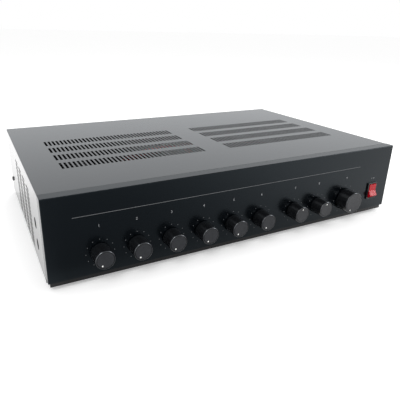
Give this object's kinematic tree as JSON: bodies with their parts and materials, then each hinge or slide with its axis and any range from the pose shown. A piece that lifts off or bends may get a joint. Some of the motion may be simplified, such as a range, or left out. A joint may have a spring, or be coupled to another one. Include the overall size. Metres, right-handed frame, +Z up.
{
  "type": "mixer amplifier",
  "caption": "Low steel-cased mixer amplifier with rotary controls, a rocker switch and slotted cover; mixes microphone and line inputs and drives loudspeaker lines.",
  "frame": {"origin": "below the middle of the whole object, on the surface that the feet stand on", "axes": "+X to the right seen from the front, +Y to the rear, +Z up"},
  "size_m": [0.4238, 0.296, 0.089],
  "materials": {
    "cover_paint": "fine satin black paint",
    "panel_paint": "smooth satin black paint",
    "rear_paint": "satin black paint",
    "chassis_steel": "satin black paint",
    "zinc_steel": "zinc plated",
    "screw_steel": "black zinc plated",
    "foot_rubber": "moulded rubber",
    "knob_plastic": "moulded, satin",
    "shaft_metal": "turned",
    "control_metal": "plain",
    "board_laminate": "phenolic paper board",
    "switch_plastic": "moulded",
    "red_rocker": "clear red moulding",
    "tinned_brass": "tinned",
    "core_steel": "varnished sheets",
    "winding_tape": "yellow tape",
    "sink_aluminium": "black anodised",
    "device_plastic": "moulded",
    "capacitor_sleeve": "silver grey sleeve",
    "relay_plastic": "moulded",
    "jack_metal": "moulded",
    "nickel": "nickel plated",
    "socket_plastic": "moulded",
    "terminal_plastic": "moulded",
    "inlet_plastic": "moulded",
    "fuse_glass": "clear",
    "ribbon_grey": "flat cable",
    "red_insulation": "insulated wire",
    "brown_insulation": "insulated wire"
  },
  "bodies": {
    "casing": {"chassis_pan": "chassis_steel", "front_subpanel": "zinc_steel", "front_panel": "panel_paint", "panel_nuts": "zinc_steel", "top_cover": "cover_paint", "rear_panel": "rear_paint", "rubber_feet": "foot_rubber", "control_cases": "control_metal", "control_nuts": "zinc_steel", "control_board": "board_laminate", "switch_housing": "switch_plastic", "switch_blades": "tinned_brass", "mains_core": "core_steel", "mains_winding": "winding_tape", "output_core": "core_steel", "output_winding": "winding_tape", "transformer_straps": "zinc_steel", "heat_sink": "sink_aluminium", "output_transistors": "device_plastic", "power_board": "board_laminate", "main_capacitors": "capacitor_sleeve", "output_relay": "relay_plastic", "bridge_rectifier": "device_plastic", "board_standoffs": "zinc_steel", "small_screws": "screw_steel", "microphone_jacks": "jack_metal", "jack_nuts": "nickel", "line_socket_block": "socket_plastic", "line_socket_barrels": "nickel", "input_board": "board_laminate", "speaker_terminal_block": "terminal_plastic", "terminal_plates": "tinned_brass", "terminal_screws": "nickel", "mains_inlet": "inlet_plastic", "inlet_pins": "tinned_brass", "fuse_holder": "inlet_plastic", "ribbon_cable": "ribbon_grey", "red_output_wires": "red_insulation", "mains_leads": "brown_insulation"},
    "input_1_control": {"input_1_knob": "knob_plastic", "input_1_shaft": "shaft_metal"},
    "input_2_control": {"input_2_knob": "knob_plastic", "input_2_shaft": "shaft_metal"},
    "input_3_control": {"input_3_knob": "knob_plastic", "input_3_shaft": "shaft_metal"},
    "input_4_control": {"input_4_knob": "knob_plastic", "input_4_shaft": "shaft_metal"},
    "input_5_control": {"input_5_knob": "knob_plastic", "input_5_shaft": "shaft_metal"},
    "input_6_control": {"input_6_knob": "knob_plastic", "input_6_shaft": "shaft_metal"},
    "bass_control": {"bass_knob": "knob_plastic", "bass_shaft": "shaft_metal"},
    "treble_control": {"treble_knob": "knob_plastic", "treble_shaft": "shaft_metal"},
    "master_control": {"master_knob": "knob_plastic", "master_shaft": "shaft_metal"},
    "rocker": {"switch_rocker": "red_rocker"},
    "fuse_carrier": {"fuse_cap": "inlet_plastic", "fuse": "fuse_glass"}
  },
  "joints": [
    {"name": "input_1_turn", "type": "hinge", "parent": "casing", "child": "input_1_control", "pos_m": [-0.163, -0.132, 0.0305], "axis": [0, 1, 0], "range_deg": [0, 300]},
    {"name": "input_2_turn", "type": "hinge", "parent": "casing", "child": "input_2_control", "pos_m": [-0.128, -0.132, 0.0305], "axis": [0, 1, 0], "range_deg": [0, 300]},
    {"name": "input_3_turn", "type": "hinge", "parent": "casing", "child": "input_3_control", "pos_m": [-0.093, -0.132, 0.0305], "axis": [0, 1, 0], "range_deg": [0, 300]},
    {"name": "input_4_turn", "type": "hinge", "parent": "casing", "child": "input_4_control", "pos_m": [-0.058, -0.132, 0.0305], "axis": [0, 1, 0], "range_deg": [0, 300]},
    {"name": "input_5_turn", "type": "hinge", "parent": "casing", "child": "input_5_control", "pos_m": [-0.023, -0.132, 0.0305], "axis": [0, 1, 0], "range_deg": [0, 300]},
    {"name": "input_6_turn", "type": "hinge", "parent": "casing", "child": "input_6_control", "pos_m": [0.012, -0.132, 0.0305], "axis": [0, 1, 0], "range_deg": [0, 300]},
    {"name": "bass_turn", "type": "hinge", "parent": "casing", "child": "bass_control", "pos_m": [0.058, -0.132, 0.0305], "axis": [0, 1, 0], "range_deg": [-150, 150]},
    {"name": "treble_turn", "type": "hinge", "parent": "casing", "child": "treble_control", "pos_m": [0.093, -0.132, 0.0305], "axis": [0, 1, 0], "range_deg": [-150, 150]},
    {"name": "master_turn", "type": "hinge", "parent": "casing", "child": "master_control", "pos_m": [0.137, -0.132, 0.0305], "axis": [0, 1, 0], "range_deg": [0, 300]},
    {"name": "power_rock", "type": "hinge", "parent": "casing", "child": "rocker", "pos_m": [0.183, -0.1307, 0.034], "axis": [1, 0, 0], "range_deg": [0, 26]},
    {"name": "fuse_turn", "type": "hinge", "parent": "casing", "child": "fuse_carrier", "pos_m": [0.122, 0.136, 0.045], "axis": [0, 1, 0], "range_deg": [0, 90]}
  ]
}
